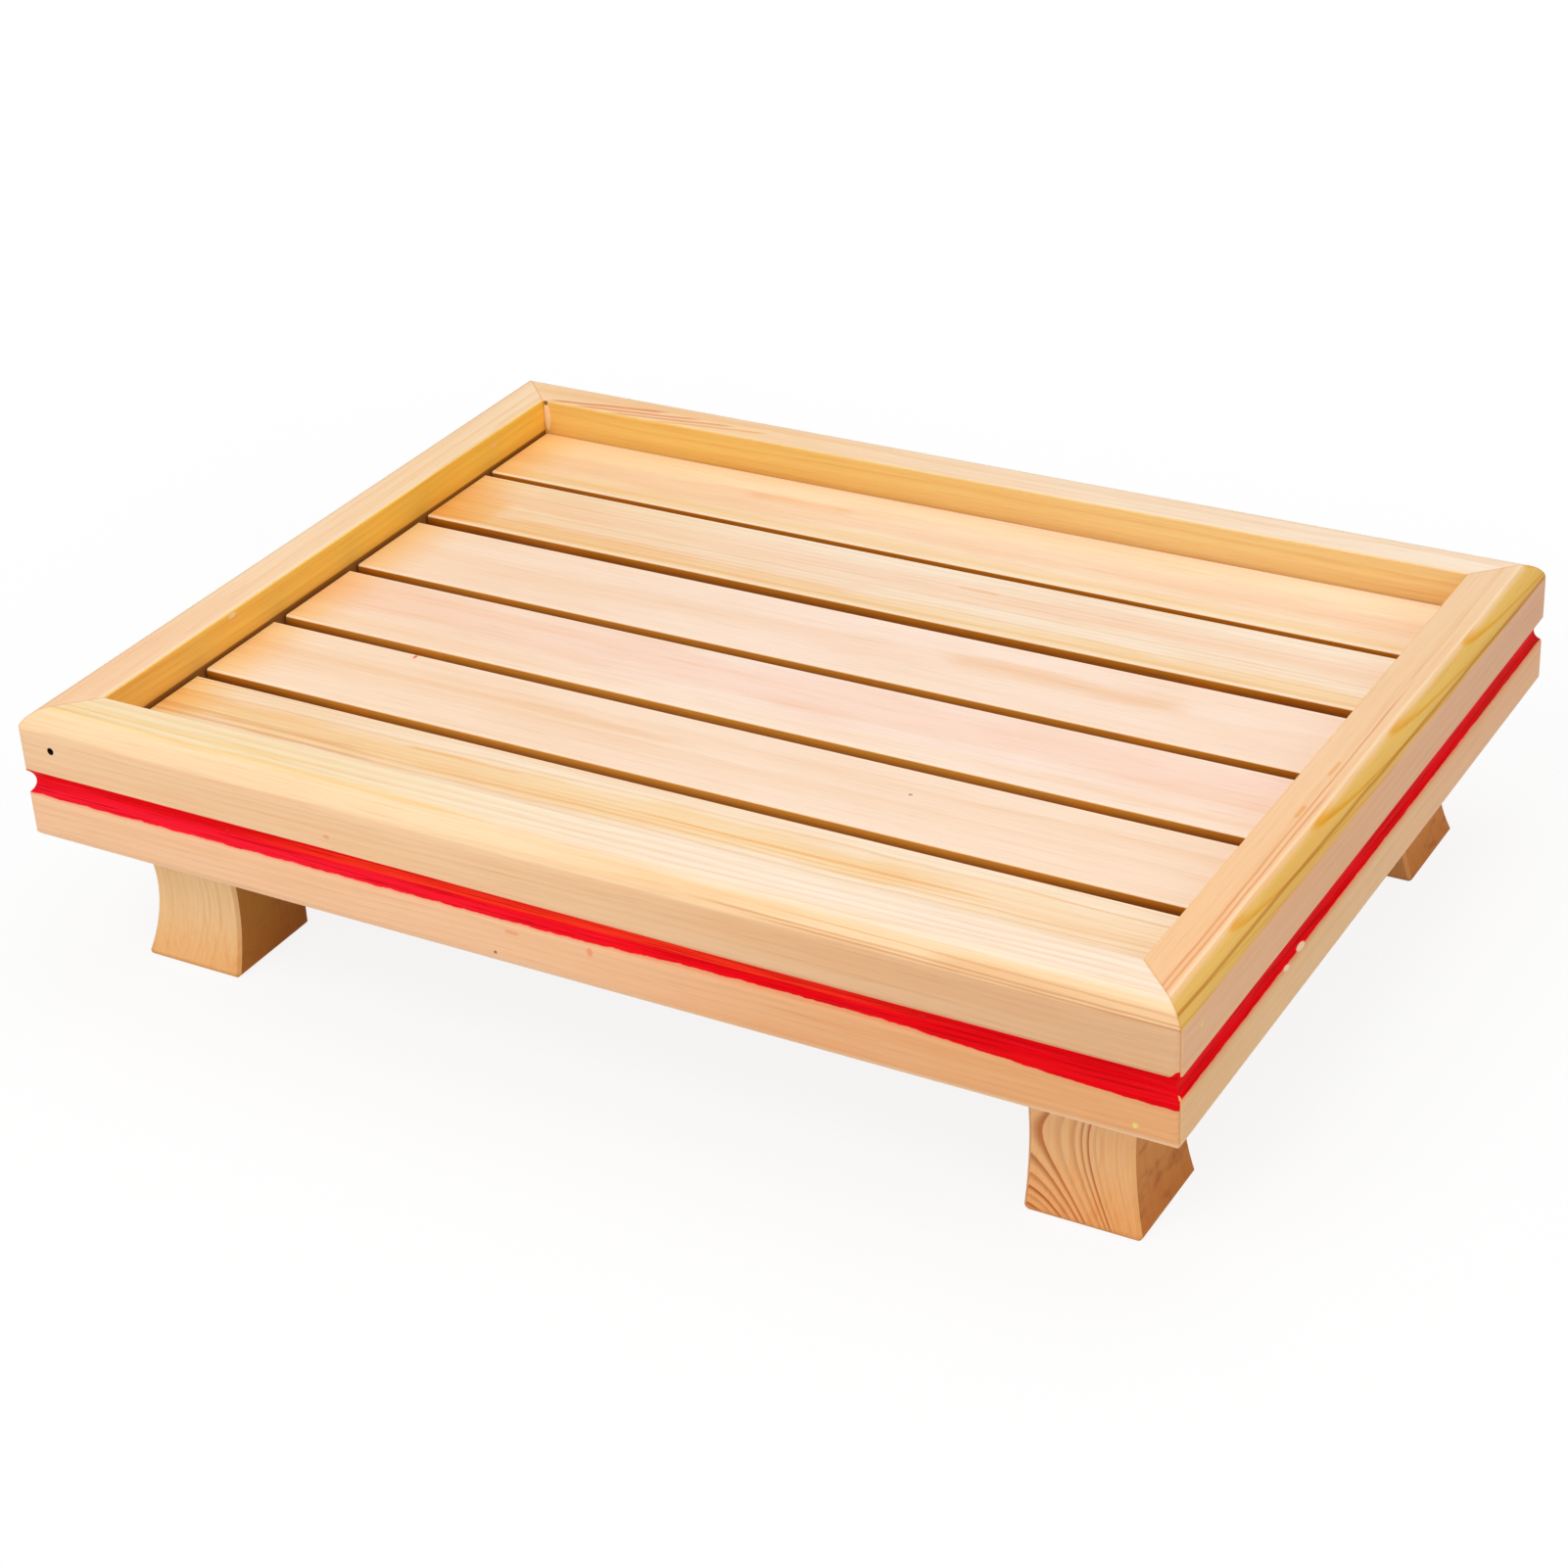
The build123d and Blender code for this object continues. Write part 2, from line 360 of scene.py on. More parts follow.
class Grain:
    """Growth rings about a pith line, with the fibre of the wood along it."""

    def __init__(self, finish, node, figure):
        self.finish = finish
        self.figure = figure
        seed = float(figure.seed)
        self.seed = seed
        place = finish.offset(finish.place(), middle(node) + Vector(figure.pith))
        along = Vector(figure.grain)
        side = along.cross(Vector(ALONG_X if figure.grain == ALONG_Z else ALONG_Z))
        self.down = finish.dot(place, along)
        self.across = finish.dot(place, side)
        self.through = finish.dot(place, along.cross(side))
        self.radius = self.bent_radius()
        self.late = self.late_wood()
        self.fibre = self.swell(FIBRES, (seed, 0, 0), 3.0, 0.6)
        self.streak = self.swell(STREAKS, (0, seed, 0), 3.0, 0.55)
        self.cloud = self.swell(CLOUDS, (seed, 0, seed))
        self.pore = self.swell(PORES, (0, 0, seed)).rise(0.64, 0.76)
        self.relief = self.fibre * 0.7 + self.late * 0.3
        self.roughness = self.fibre.rise(0.2, 0.8, 0.7, 0.55)

    def swell(self, size, shift, detail=2.0, roughness=0.5):
        """Noise that is drawn out along the fibre, moved by a shift of its own."""
        across, along = size
        vector = self.finish.join(self.across * across, self.through * across, self.down * along)
        return self.finish.noise(self.finish.offset(vector, [-way for way in shift]), detail, roughness)

    def bent_radius(self):
        """The way out from the pith, in millimetres, bent by the sway and the ripple of the rings."""
        sway = self.swell(SWAY, (self.seed, 0, 0)) - 0.5
        ripple = self.swell(RIPPLE, (0, self.seed, 0)) - 0.5
        radius = (self.across.square() + self.through.square()).root()
        wander = self.figure.wander
        return radius + sway * (SWAY_REACH * wander) + ripple * (RIPPLE_REACH * wander)

    def late_wood(self):
        """The dark line of each ring, which comes slowly, ends sharply and is stronger in some rings."""
        ring = self.figure.ring
        outward = self.finish.join(self.radius * (CROWD_SWELLS / ring), self.seed, 0.0)
        count = self.radius / ring + self.finish.noise(outward, 1.0) * CROWD_RINGS
        step = count.fraction()
        weight = self.finish.chance(count.floor() + self.seed).rise(0.0, 1.0, 0.2, 1.0)
        return step.rise(0.3, 0.86) * step.rise(0.88, 1.0, 1.0, 0.0) * weight

    def colour(self, tone):
        """A tone with the piece's clouds, streaks, late-wood lines, fibre and pores."""
        stain = self.finish.stain
        colour = stain(self.cloud.rise(0.35, 0.7) * CLOUD_STRENGTH, tone, LATE_WOOD)
        colour = stain(self.streak.rise(0.48, 0.75) * self.figure.streak, colour, ORANGE_WOOD)
        colour = stain(self.late * self.figure.line, colour, self.figure.late)
        colour = stain(self.fibre.rise(0.45, 0.8) * FIBRE_STRENGTH, colour, FIBRE)
        return stain(self.pore * PORE_STRENGTH, colour, BROWN_WOOD)

    def planed(self, colour):
        """Planed wood of a colour, with no finish on it."""
        return self.finish.principled({
            "Base Color": colour, "Roughness": self.roughness, "Specular IOR Level": WOOD_GLOSS,
            "Normal": self.finish.bump(self.relief, FIBRE_DEPTH)})


@dataclass
class Streak:
    """A long stain along the grain: its ends, its middle and half width across, and its drift across."""
    start: float
    end: float
    across: float
    half_width: float
    stain: tuple
    strength: float
    drift: float = 0.0

    def over(self, finish, colour, along, across, ragged, on_face=1.0):
        """The colour with this streak on it, where on_face is 1; ragged is noise that breaks its edges."""
        taper = along.between(self.start, self.end, STREAK_TAPER * (self.end - self.start))
        drifted = across - (along - self.start) * self.drift
        away = drifted + (ragged - 0.5) * (STREAK_RAGGED * self.half_width)
        line = away.band(self.across, STREAK_CORE * self.half_width, self.half_width)
        return finish.stain(taper * line * self.strength * on_face, colour, self.stain)


@dataclass
class Speck:
    """A small mark: its place along and across the face, its half sizes, its colour and its strength."""
    along: float
    across: float
    half_length: float
    half_width: float
    colour: tuple
    strength: float

    def share(self, along, across):
        """How strongly the mark shows at a place."""
        length = (along - self.along) / self.half_length
        width = (across - self.across) / self.half_width
        return (length.square() + width.square()).rise(0.6, 1.3, self.strength, 0.0)

    def over(self, finish, colour, along, across, on_face=1.0):
        """The colour with this mark on it, on the face where on_face is 1."""
        return finish.mix(self.share(along, across) * on_face, colour, self.colour)


def bare_wood(name, node, figure, tone):
    """Planed softwood of one tone."""
    finish = Finish(name)
    grain = Grain(finish, node, figure)
    return finish.done(grain.planed(grain.colour(tone)))


def dress(node, material):
    """Gives a CAD node its finish in every slot."""
    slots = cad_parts[node].data.materials
    for index in range(len(slots)):
        slots[index] = material
    if not slots:
        slots.append(material)


# Rails: colours of the pale marks, painted highlight and painted floor glow on the edges, the joints, the
# painted shadow along the wall's foot, the sawn underside and the paint
# Pale for real marks on the walls, and for painted highlight and painted floor glow on the rails' edges
PALE_MARK_AND_GLOW = srgb(252, 226, 190)
BARE_CHIP = srgb(250, 232, 196)
YELLOW_CHIP = srgb(238, 200, 116)
MITRE_GLUE = srgb(226, 170, 100)
# Painted shadow of the gap between the slats' ends and the inner wall
WALL_GAP_SHADOW = srgb(122, 54, 2)
HOLE_DIRT = srgb(40, 24, 14)
SAWN_UNDER = srgb(214, 176, 130)
PAINT_RED = srgb(244, 2, 14)
PAINT_DEEP = srgb(200, 0, 8)
# Pink for the paint's painted sheen
PAINT_PINK = srgb(252, 36, 62)
PAINT_ORANGE = srgb(252, 62, 30)
PAINT_BROWN = srgb(160, 52, 20)
PAINT_SOAK = srgb(240, 130, 90)

# Tones of the outer faces and inner walls that the photograph doesn't show; the walls' amber is painted
# shade
PLAIN_FACE = (srgb(240, 194, 152), srgb(240, 194, 152))
PLAIN_WALL_SHADE = (srgb(246, 198, 122), srgb(246, 198, 122))

# Where a rail's tones and the painted floor glow on its lower edge go over from those of its first end to
# those of its second
TOP_TURN = (-100, 60)
FACE_TURN = (-60, 150)
FLOOR_GLOW_TURN = (-60, 100)

# Girths over which the top's tone goes over to the rounded edge's, and that to the outer face's
EDGE_TURN = (ROUND_START - 0.8, ROUND_START + 2.6)
ROUND_TURN = (ROUND_END - 0.6, ROUND_END + 0.6)

# Girths of the painted highlight beside the rounded edge and of the pale line along the inner top edge
ROUND_HIGHLIGHT = ROUND_START - 0.7
INNER_LINE = 1.0

# Heights over which the painted floor glow on a rail's lower edge fades out, and, above the slats, its
# wall's painted shade at the foot and painted shadow along the gap
FLOOR_GLOW_HEIGHTS = (2.0, 3.4)
WALL_FOOT_SHADE = (0.0, 5.5)
GAP_SHADOW_EDGE = (0.6, 1.3)

# How far from the mitre its glue shows
GLUE_LINE = (0.1, 0.35)

# Girths over which the ring lines weaken towards the outer face, and how strong they are there
LINES_TURN = (ROUND_END - 2.0, ROUND_END)
FACE_LINES = 0.5

# How far the bounds between a rail's tones wander, and how many swells they have in a millimetre
TONE_WANDER = 1.2
TONE_SWELLS = 0.02

# Swells of the ragged edges of streaks in a millimetre, along a piece and across a rail or a slat
RAGGED_ALONG = 0.03
RAIL_RAGGED = 0.1
SLAT_RAGGED = 0.15

# Flames of gold on a rounded edge: spacing, shift, seed, tip, spread, ragged edge, and girths they keep to
FLAME_PITCH = 51.0
FLAME_SHIFT = 2.76
FLAME_SEED = 4.0
FLAME_TIP = 13.2
FLAME_SPREAD = 1.25
FLAME_RAGGED = 9.0
FLAME_GIRTHS = (ROUND_START + 0.6, ROUND_END - 0.2)

# Paint: how its edges feather and soak into the wood, from outside an edge to inside it
LOW_FEATHER = (-0.12, 0.12)
HIGH_FEATHER = (-0.08, 0.08)
LOW_SOAK = (-0.8, 0.1)
HIGH_SOAK = (-0.4, 0.1)
SOAK_STRENGTH = 0.4

# Paint: swells of its lower and its upper ragged edge in a millimetre of the rail
LOW_RAGGED = 0.16
HIGH_RAGGED = 0.05

# Paint: swells of its strokes in a millimetre along, up and in, and of the patches of its painted sheen and
# painted shadow along and up
STROKES = (0.04, 2.4, 2.0)
PATCH_SWELLS = (0.03, 0.9)

# Paint: where a painted brown shadow lies low in the right rail's groove, by length and height
GROOVE_SHADOW_ALONG = (45, 90)
GROOVE_SHADOW_HEIGHT = (GROOVE_LOW, 15.4)

# Paint: where its lower flank gets a painted pink sheen, where it shows an orange lane and where it turns
# deep on the front rail
SHEEN_ALONG = (-80, 60)
SHEEN_HEIGHT = (15.0, 18.5)
LANE_ALONG = (-50, 60)
LANE_HEIGHT = (17.2, 19.6)
DEEP_ALONG = (20, 130)


@dataclass(frozen=True)
class PaintEdge:
    """An edge of the paint: its height from a lip of the groove, how ragged it is, and its steps along."""
    off: float
    ragged: float
    steps: tuple = ()

    def height(self, lip, along, ragged):
        """The edge's height above the rail's base, where ragged is noise about 0."""
        height = ragged * self.ragged + (lip + self.off)
        for start, end, step in self.steps:
            height = height + along.rise(start, end) * step
        return height


@dataclass
class RailLook:
    """Tones, figure, paint edges and marks of one rail.

    A pair of tones is for the left and right end of a long rail, or the front and back end of a short one.
    The inner wall's tones are painted shade; the two strengths are those of the painted shadow along the
    wall's foot and of a pale line on the inner top edge.
    """
    top: tuple
    edge: tuple
    figure: Figure
    face: tuple = PLAIN_FACE
    low: tuple = PLAIN_FACE
    inner: tuple = PLAIN_WALL_SHADE
    seam: float = 0.0
    inner_paleness: float = 0.0
    paint_low: PaintEdge = PaintEdge(-0.1, 0.9)
    paint_high: PaintEdge = PaintEdge(0.35, 0.4)
    streaks: tuple = ()
    specks: tuple = ()
    wall_specks: tuple = ()
    chips: tuple = ()
    flames: bool = False


RAIL_LOOKS = {
    "front": RailLook(
        top=(srgb(246, 224, 184), srgb(249, 232, 212)),
        edge=srgb(249, 216, 174),
        face=(srgb(243, 202, 159), srgb(226, 181, 139)),
        low=(srgb(246, 199, 158), srgb(231, 172, 119)),
        figure=Figure(ALONG_X, pith=(0, 70, -85), ring=1.5, line=0.42, streak=0.22, seed=3),
        paint_low=PaintEdge(0.4, 0.9, ((0, 45, 0.6), (82, 112, -0.6), (100, 165, -2.0))),
        paint_high=PaintEdge(0.35, 0.4, ((-60, 60, -1.8), (HALF_LENGTH - 4, HALF_LENGTH - 1, 2.8))),
        streaks=(
            Streak(-165, -40, 11.0, 1.6, YELLOW_GRAIN, 0.4),
            Streak(-165, -90, 7.0, 0.9, YELLOW_GRAIN, 0.5),
            Streak(70, 165, 16.0, 0.35, BROWN_WOOD, 0.3, 0.018),
            Streak(55, 165, 18.8, 0.35, BROWN_WOOD, 0.45, 0.012),
            Streak(70, 165, 20.2, 0.35, BROWN_WOOD, 0.55, 0.011),
            Streak(110, 165, 18.3, 2.4, TAN_GRAIN, 0.7, 0.012),
        ),
        specks=(
            Speck(-17.6, 4.4, 0.5, 0.5, SPECK, 0.8),
            Speck(-12.0, 11.5, 2.2, 0.6, PAINT_SOAK, 0.5),
            Speck(10.5, 12.0, 0.9, 1.2, PAINT_SOAK, 0.6),
            Speck(-66.0, 25.2, 1.0, 0.6, PAINT_SOAK, 0.5),
        ),
    ),
    "right": RailLook(
        top=(srgb(243, 196, 148), srgb(242, 208, 169)),
        # The right rail's mustard rounded edge is painted shade
        edge=srgb(227, 184, 97),
        face=(srgb(232, 183, 142), srgb(228, 180, 147)),
        low=(srgb(234, 194, 146), srgb(239, 190, 151)),
        figure=Figure(ALONG_Y, pith=(-60, 0, -70), ring=1.9, line=0.28, streak=0.2, seed=8),
        paint_low=PaintEdge(0.5, 0.4),
        paint_high=PaintEdge(0.0, 0.3),
        streaks=(
            Streak(-122, 20, 8.4, 0.3, RED_WOOD, 0.7),
            Streak(-122, -30, 9.9, 0.3, RED_WOOD, 0.7),
            Streak(-33, -28, 7.2, 0.6, ORANGE_WOOD, 0.6),
            Streak(-11, -5, 6.7, 0.5, ORANGE_WOOD, 0.6),
            Streak(-122, 122, 17.0, 0.6, OLIVE_WOOD, 0.65, 0.017),
        ),
        chips=(
            Speck(-51.0, 14.4, 2.4, 0.5, BARE_CHIP, 1.0),
            Speck(-60.5, 14.0, 1.6, 0.4, BARE_CHIP, 0.9),
            Speck(-120.6, 14.8, 0.7, 0.5, YELLOW_CHIP, 0.9),
        ),
        flames=True,
    ),
    "back": RailLook(
        top=(srgb(248, 211, 166), srgb(250, 231, 208)),
        edge=srgb(248, 208, 164),
        inner=(srgb(245, 203, 114), srgb(246, 210, 143)),
        figure=Figure(ALONG_X, pith=(0, 30, -60), ring=2.6, line=0.35, streak=0.25, seed=17, wander=1.8),
        inner_paleness=0.3,
        streaks=(
            Streak(-142, -112, 2.0, 0.9, RED_WOOD, 1.0, 0.16),
            Streak(-132, -100, 1.4, 0.7, RED_WOOD, 0.9, 0.14),
            Streak(-120, -88, 0.9, 0.7, RED_WOOD, 0.8, 0.14),
            Streak(-106, -76, 0.8, 0.6, ORANGE_WOOD, 0.7, 0.14),
        ),
        wall_specks=(
            Speck(-146.8, 33.0, 1.1, 4.6, PALE_MARK_AND_GLOW, 0.9),
            Speck(-147.0, 37.4, 0.8, 0.8, SPECK, 0.9),
        ),
    ),
    "left": RailLook(
        top=(srgb(246, 208, 170), srgb(250, 221, 184)),
        edge=srgb(248, 206, 160),
        # Deep amber painted shade on the inner wall, and a painted shadow along its foot
        inner=(srgb(255, 203, 100), srgb(255, 208, 88)),
        figure=Figure(ALONG_Y, pith=(20, 0, -45), ring=2.8, line=0.4, streak=0.35, seed=26, wander=1.6),
        seam=0.8,
        inner_paleness=0.6,
        wall_specks=(
            Speck(-51.0, 36.8, 1.6, 0.7, PALE_MARK_AND_GLOW, 0.8),
            Speck(78.0, 34.2, 0.9, 0.9, PINK_MARK, 0.8),
        ),
    ),
}


class RailPlace:
    """Where a point of a rail lies: along it, in from its outer face, up from its base, and by girth."""

    def __init__(self, finish, side):
        x, y, z = finish.split(finish.place())
        from_end = HALF_LENGTH - abs(x)
        from_side = HALF_WIDTH - abs(y)
        if side in ("front", "back"):
            self.along, self.depth = x, from_side
        else:
            self.along, self.depth = y, from_end
        self.height = z - RAIL_BASE
        self.girth = (RAIL_WIDTH - self.depth) + (RAIL_HEIGHT - self.height)
        self.from_mitre = abs(from_end - from_side) / math.sqrt(2)
        self.on_face = self.depth.rise(*FACE_SKIN, 1.0, 0.0)
        self.on_wall = self.depth.rise(RAIL_WIDTH - WALL_SKIN[1], RAIL_WIDTH - WALL_SKIN[0])


def shaded_wall_tone(finish, look, place):
    """The tone of a rail's inner wall, with painted shade: amber, darker at its foot, and a painted shadow
    along the floor where the slats' ends leave a gap.
    """
    wall = finish.mix(place.along.rise(*TOP_TURN), *look.inner)
    above_floor = place.height - FLOOR_HEIGHT
    wall = finish.stain(above_floor.rise(*WALL_FOOT_SHADE, 0.35, 0.0), wall, BROWN_WOOD)
    return finish.mix(above_floor.rise(*GAP_SHADOW_EDGE, look.seam, 0.0), wall, WALL_GAP_SHADOW)


def rail_tone(finish, look, place, wobble):
    """The rail's ground colour, from its inner wall over the top and the rounded edge to the outer face,
    with painted shade on the wall and the rounded edge, a painted highlight, painted floor glow on the lower
    edge, and partly painted light in the tones below the groove.
    """
    girth = place.girth + (wobble - 0.5) * TONE_WANDER
    top = finish.mix(place.along.rise(*TOP_TURN), *look.top)
    face_turn = place.along.rise(*FACE_TURN)
    over_groove = finish.mix(face_turn, *look.face)
    # Tones below the groove are partly painted light
    under_groove = finish.mix(face_turn, *look.low)
    face = finish.mix(place.height.rise(GROOVE_LOW, GROOVE_HIGH, 1.0, 0.0), over_groove, under_groove)
    # The rounded edge's tone is partly painted shade
    tone = finish.mix(girth.rise(*EDGE_TURN), top, look.edge)
    tone = finish.mix(girth.rise(*ROUND_TURN), tone, face)
    # Painted highlight along the brow of the rounded edge
    round_highlight = girth.band(ROUND_HIGHLIGHT, 0.1, 0.7) * 0.6
    # Painted glow of the white floor on the rail's lower edge
    floor_glow = place.height.rise(*FLOOR_GLOW_HEIGHTS, 0.5, 0.0) * place.along.rise(*FLOOR_GLOW_TURN, 0.4, 1.0)
    # A pale line along the inner top edge
    inner_line = place.girth.band(INNER_LINE, 0.3, 0.5) * look.inner_paleness
    for pale in (round_highlight, floor_glow, inner_line):
        tone = finish.mix(pale, tone, PALE_MARK_AND_GLOW)
    tone = finish.mix(place.on_wall, tone, shaded_wall_tone(finish, look, place))
    return finish.mix(place.height.rise(*UNDER_SKIN, 1.0, 0.0), tone, SAWN_UNDER)


def rail_flames(finish, colour, place, ragged):
    """Pointed golden flames that open along the rail on its rounded edge."""
    spread = (place.girth - FLAME_TIP).square() * FLAME_SPREAD
    reach = place.along - spread + (ragged - 0.5) * FLAME_RAGGED
    count = reach / FLAME_PITCH + FLAME_SHIFT
    step = count.fraction()
    weight = finish.chance(count.floor() + FLAME_SEED).rise(0.0, 1.0, 0.5, 1.0)
    line = step.rise(0.0, 0.1) * step.rise(0.1, 0.32, 1.0, 0.0) * weight
    on_edge = place.girth.between(*FLAME_GIRTHS, 1.0)
    return finish.stain(line * on_edge, colour, GOLD_WOOD)


def rail_marks(finish, colour, look, place, ragged):
    """The colour with a rail's flames, streaks and specks, and with glue along its mitres."""
    if look.flames:
        colour = rail_flames(finish, colour, place, ragged)
    for streak in look.streaks:
        colour = streak.over(finish, colour, place.along, place.girth, ragged, 1.0 - place.on_wall)
    for speck in look.specks:
        colour = speck.over(finish, colour, place.along, place.height, place.on_face)
    for speck in look.wall_specks:
        colour = speck.over(finish, colour, place.along, place.height, place.on_wall)
    return finish.stain(place.from_mitre.rise(*GLUE_LINE, 0.4, 0.0), colour, MITRE_GLUE)


def open_brad_hole(finish, colour, place):
    """Dirt in the brad hole that has lost its putty."""
    along = place.along - OPEN_HOLE_ALONG
    up = place.height - OPEN_HOLE_HEIGHT
    reach = (along.square() + up.square()).root()
    return finish.mix(reach.rise(*OPEN_HOLE_EDGE, 1.0, 0.0), colour, HOLE_DIRT)


def brushed_red(finish, side, place, brush, seed):
    """The paint's red in brush strokes with patches of painted pink sheen, with a painted brown shadow low
    in the right rail's groove, and on the front from a painted pink sheen on the lower flank to deep red.
    """
    spots = finish.join(place.along * PATCH_SWELLS[0] + seed, place.height * PATCH_SWELLS[1], 2.0)
    patch_noise = finish.noise(spots, 3.0, 0.6)
    red = finish.mix(brush.rise(0.34, 0.56), PAINT_DEEP, PAINT_RED)
    # Pink patches: painted sheen of the semi-gloss paint
    red = finish.mix(patch_noise.rise(0.52, 0.72) * 0.45, red, PAINT_PINK)
    if side == "right":
        # Painted brown shadow low in the right rail's groove
        groove_shadow = place.along.rise(*GROOVE_SHADOW_ALONG) * place.height.between(*GROOVE_SHADOW_HEIGHT, 0.8)
        red = finish.mix(groove_shadow * patch_noise.rise(0.35, 0.6) * 0.5, red, PAINT_BROWN)
    if side == "front":
        # Painted pink sheen on the groove's lower flank, which faces up
        flank_sheen = place.height.rise(*SHEEN_HEIGHT, 1.0, 0.0) * place.along.rise(*SHEEN_ALONG, 0.9, 0.1)
        red = finish.mix(flank_sheen * brush.rise(0.36, 0.52, 0.25, 0.8), red, PAINT_PINK)
        lane = place.height.between(*LANE_HEIGHT, 0.7) * place.along.between(*LANE_ALONG, 60)
        red = finish.mix(lane * brush.rise(0.4, 0.56, 0.25, 0.8), red, PAINT_ORANGE)
        red = finish.mix(place.along.rise(*DEEP_ALONG, 0.0, 0.25), red, PAINT_DEEP)
    return red


def groove_paint(finish, side, place, colour, seed):
    """Red paint brushed into the groove: where it lies, its shader, and the colour of the wood beside it."""
    look = RAIL_LOOKS[side]
    low_ragged = finish.noise(finish.join(place.along * LOW_RAGGED + seed, 0.0, 0.0), 3.0, 0.6) - 0.5
    high_ragged = finish.noise(finish.join(place.along * HIGH_RAGGED, seed, 3.0)) - 0.5
    above = place.height - look.paint_low.height(GROOVE_LOW, place.along, low_ragged)
    below = look.paint_high.height(GROOVE_HIGH, place.along, high_ragged) - place.height
    near = place.depth.rise(*PAINT_SKIN, 1.0, 0.0)
    share = above.rise(*LOW_FEATHER) * below.rise(*HIGH_FEATHER) * near
    soak = above.rise(*LOW_SOAK) * below.rise(*HIGH_SOAK) * near
    colour = finish.mix(soak * SOAK_STRENGTH, colour, PAINT_SOAK)
    for chip in look.chips:
        share = share * (1.0 - chip.share(place.along, place.height))
        colour = chip.over(finish, colour, place.along, place.height, near)
    along, up, inward = STROKES
    strokes = finish.join(place.along * along, place.height * up + seed, place.depth * inward)
    brush = finish.noise(strokes, 3.0, 0.6)
    coat = finish.principled({
        "Base Color": brushed_red(finish, side, place, brush, seed),
        "Roughness": brush.rise(0.3, 0.7, 0.55, 0.42), "Specular IOR Level": PAINT_GLOSS,
        "Normal": finish.bump(brush, BRUSH_DEPTH)})
    return share, coat, colour


def painted_rail(side):
    """A rail's wood with red paint in the groove on its outer side."""
    look = RAIL_LOOKS[side]
    node = "rail_" + side
    finish = Finish(node + "_painted_wood")
    grain = Grain(finish, node, look.figure)
    place = RailPlace(finish, side)
    grain.late = grain.late * place.girth.rise(*LINES_TURN, 1.0, FACE_LINES)
    wobble = finish.noise(finish.join(place.along * TONE_SWELLS, grain.seed, 0.0))
    edges = finish.join(place.along * RAGGED_ALONG, place.girth * RAIL_RAGGED + grain.seed, 5.0)
    ragged = finish.noise(edges, 3.0)
    colour = grain.colour(rail_tone(finish, look, place, wobble))
    colour = rail_marks(finish, colour, look, place, ragged)
    if side == "front":
        colour = open_brad_hole(finish, colour, place)
    share, coat, colour = groove_paint(finish, side, place, colour, grain.seed)
    return finish.done(finish.layer(share, grain.planed(colour), coat))


# Slats: a painted highlight for the eased edges, painted shade for the sides and a stain that deepens it, a
# painted warm bounce from the wall on the ends, and stains of the faint bands on top
SLAT_EDGE_HIGHLIGHT = srgb(254, 236, 212)
SLAT_SIDE_SHADE_HIGH = srgb(222, 150, 52)
SLAT_SIDE_SHADE_LOW = srgb(164, 96, 22)
SLAT_SIDE_SHADE_STAIN = srgb(226, 198, 76)
WALL_BOUNCE_WARMTH = srgb(246, 222, 158)
YELLOW_BAND = srgb(255, 250, 226)
PINK_BAND = srgb(254, 242, 236)
GOLD_BAND = srgb(252, 238, 208)

# Along a slat: where its left tone goes over to its right one, the painted warm bounce from the wall at its
# left end, and the painted shade at its sides' ends
SLAT_TURN = (-150, 0)
WALL_BOUNCE_REACH = (-SLAT_HALF_LENGTH, 20 - SLAT_HALF_LENGTH)
SIDE_SHADE_ENDS = (105, 145)

# Across and down a slat: its eased edge, where its side starts below the top, and where the side's painted
# shade deepens
EASED_EDGE = (SLAT_HALF_WIDTH - 1.0, SLAT_HALF_WIDTH - 0.5)
SIDE_START = (0.25, 0.5)
SIDE_SHADE_DEEPENS = (0.5, 2.8)


@dataclass
class SlatLook:
    """Tones of a slat at its left and right end, how much painted shade its sides get, its figure and its
    marks.
    """
    left: tuple
    right: tuple
    side: float
    figure: Figure
    streaks: tuple = ()
    specks: tuple = ()


